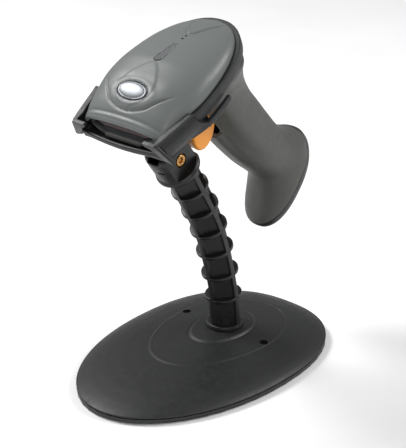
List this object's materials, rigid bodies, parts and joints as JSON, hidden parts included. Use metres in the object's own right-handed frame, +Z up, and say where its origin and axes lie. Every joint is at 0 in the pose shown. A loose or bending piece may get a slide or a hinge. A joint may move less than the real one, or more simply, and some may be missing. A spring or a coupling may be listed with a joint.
{
  "type": "handheld barcode scanner on a goose-neck stand",
  "caption": "Pistol-grip laser barcode scanner with an orange trigger, resting in the cradle of a bendable goose-neck stand with a weighted oval base.",
  "frame": {"origin": "middle of the oval base's widest line, on the plane the rubber feet stand on, 0.9 mm below the mount counter_face; the bounding box reaches 98.0 mm in front of it and 81.1 mm behind it", "axes": "+Z up, the scanner's nose points along -Y, +X is the side with the tilt screw's head"},
  "size_m": [0.1194, 0.1791, 0.2102],
  "materials": {
    "shell_satin": "satin moulded plastic with a fine metallic grain, grey-green gunmetal",
    "handle_satin": "satin moulded plastic, darker gunmetal",
    "black_soft": "matt black moulded rubber",
    "black_plastic": "black moulded plastic, fine spark-eroded grain",
    "base_satin": "satin black moulded plastic with a soft sheen",
    "neck_black": "black moulded plastic sleeve",
    "trigger_orange": "semi-gloss orange plastic",
    "badge_silver": "clear-domed silver badge, blank",
    "window_red": "dark red-tinted clear acrylic",
    "clear_guide": "clear moulded light guide",
    "brass": "turned brass",
    "steel": "zinc-plated steel",
    "cast_weight": "cast iron ballast",
    "foot_rubber": "black rubber",
    "circuit_green": "green solder mask",
    "alloy": "die-cast alloy",
    "mirror": "first-surface mirror",
    "copper": "enamelled copper winding",
    "part_black": "black component plastic",
    "ribbon": "flat flexible cable"
  },
  "bodies": {
    "base": {"base_cover": "base_satin", "base_plate": "black_plastic", "base_weight": "cast_weight", "foot_front_left": "foot_rubber", "foot_front_right": "foot_rubber", "foot_rear_left": "foot_rubber", "foot_rear_right": "foot_rubber", "base_screw_front": "steel", "base_screw_rear": "steel", "neck_bolt": "steel", "neck_washer": "steel", "neck_root": "neck_black"},
    "link_1": {"neck_link_1": "neck_black"},
    "link_2": {"neck_link_2": "neck_black"},
    "link_3": {"neck_link_3": "neck_black"},
    "link_4": {"neck_link_4": "neck_black"},
    "link_5": {"neck_link_5": "neck_black"},
    "knuckle": {"neck_knuckle": "neck_black", "tilt_screw": "brass", "tilt_washer": "brass", "tilt_nut": "steel"},
    "cradle": {"cradle": "black_plastic"},
    "scanner": {"top_shell": "shell_satin", "handle_shell": "handle_satin", "bumper_band": "black_soft", "grip_end_cap": "black_plastic", "nose_bezel": "black_plastic", "scan_window": "window_red", "badge": "badge_silver", "light_pipe": "clear_guide", "trigger_pin": "steel", "trigger_spring": "steel", "trigger_switch": "part_black", "grip_board": "circuit_green", "main_board": "circuit_green", "board_ribbon": "ribbon", "engine_chassis": "alloy", "laser_module": "brass", "mirror_shaft": "steel", "mirror_coil": "copper", "collecting_mirror": "mirror", "photo_detector": "part_black", "buzzer": "part_black", "status_led": "clear_guide", "cable_socket": "part_black", "housing_screw_a": "steel", "housing_screw_b": "steel", "end_cap_screw": "steel"},
    "trigger": {"trigger": "trigger_orange"},
    "switch_plunger": {"switch_plunger": "ribbon"},
    "scan_mirror": {"scan_mirror": "mirror"}
  },
  "joints": [
    {"name": "neck_bend_low", "type": "hinge", "parent": "base", "child": "link_1", "pos_m": [0, 0.014, 0.02625], "axis": [1, 0, 0], "range_deg": [-8, 8]},
    {"name": "neck_side_low", "type": "hinge", "parent": "link_1", "child": "link_2", "pos_m": [0, 0.01145, 0.04435], "axis": [0, 0.9797, 0.2005], "range_deg": [-8, 8]},
    {"name": "neck_bend_mid", "type": "hinge", "parent": "link_2", "child": "link_3", "pos_m": [0, 0.00725, 0.06135], "axis": [1, 0, 0], "range_deg": [-8, 8]},
    {"name": "neck_side_mid", "type": "hinge", "parent": "link_3", "child": "link_4", "pos_m": [0, 0.00195, 0.07775], "axis": [0, 0.9413, 0.3375], "range_deg": [-8, 8]},
    {"name": "neck_bend_high", "type": "hinge", "parent": "link_4", "child": "link_5", "pos_m": [0, -0.00485, 0.0935], "axis": [1, 0, 0], "range_deg": [-8, 8]},
    {"name": "neck_side_high", "type": "hinge", "parent": "link_5", "child": "knuckle", "pos_m": [0, -0.0132, 0.10875], "axis": [0, 0.861, 0.5085], "range_deg": [-8, 8]},
    {"name": "cradle_tilt", "type": "hinge", "parent": "knuckle", "child": "cradle", "pos_m": [0, -0.0339, 0.1395], "axis": [1, 0, 0], "range_deg": [-8, 35]},
    {"name": "scanner_lift", "type": "slide", "parent": "cradle", "child": "scanner", "axis": [0, 0.891, 0.454], "range_m": [0, 0.1]},
    {"name": "trigger_pull", "type": "hinge", "parent": "scanner", "child": "trigger", "pos_m": [0, -0.01515, 0.1716], "axis": [1, 0, 0], "range_deg": [0, 6], "stiffness_Nm_per_rad": 0.2, "springref_deg": -11.46, "deforming": ["trigger_spring"]},
    {"name": "switch_travel", "type": "slide", "parent": "scanner", "child": "switch_plunger", "axis": [0, 0.891, 0.454], "range_m": [0, 0.0018]},
    {"name": "mirror_sweep", "type": "hinge", "parent": "scanner", "child": "scan_mirror", "pos_m": [0, -0.04525, 0.18376], "axis": [0, -0.454, 0.891], "range_deg": [-10, 10], "stiffness_Nm_per_rad": 0.002}
  ],
  "couplings": [
    {"joint": "neck_bend_mid", "follows": "neck_bend_low", "ratio": 1},
    {"joint": "neck_bend_high", "follows": "neck_bend_low", "ratio": 1},
    {"joint": "neck_side_mid", "follows": "neck_side_low", "ratio": 1},
    {"joint": "neck_side_high", "follows": "neck_side_low", "ratio": 1},
    {"joint": "switch_travel", "follows": "trigger_pull", "m_per_rad": 0.0165}
  ]
}
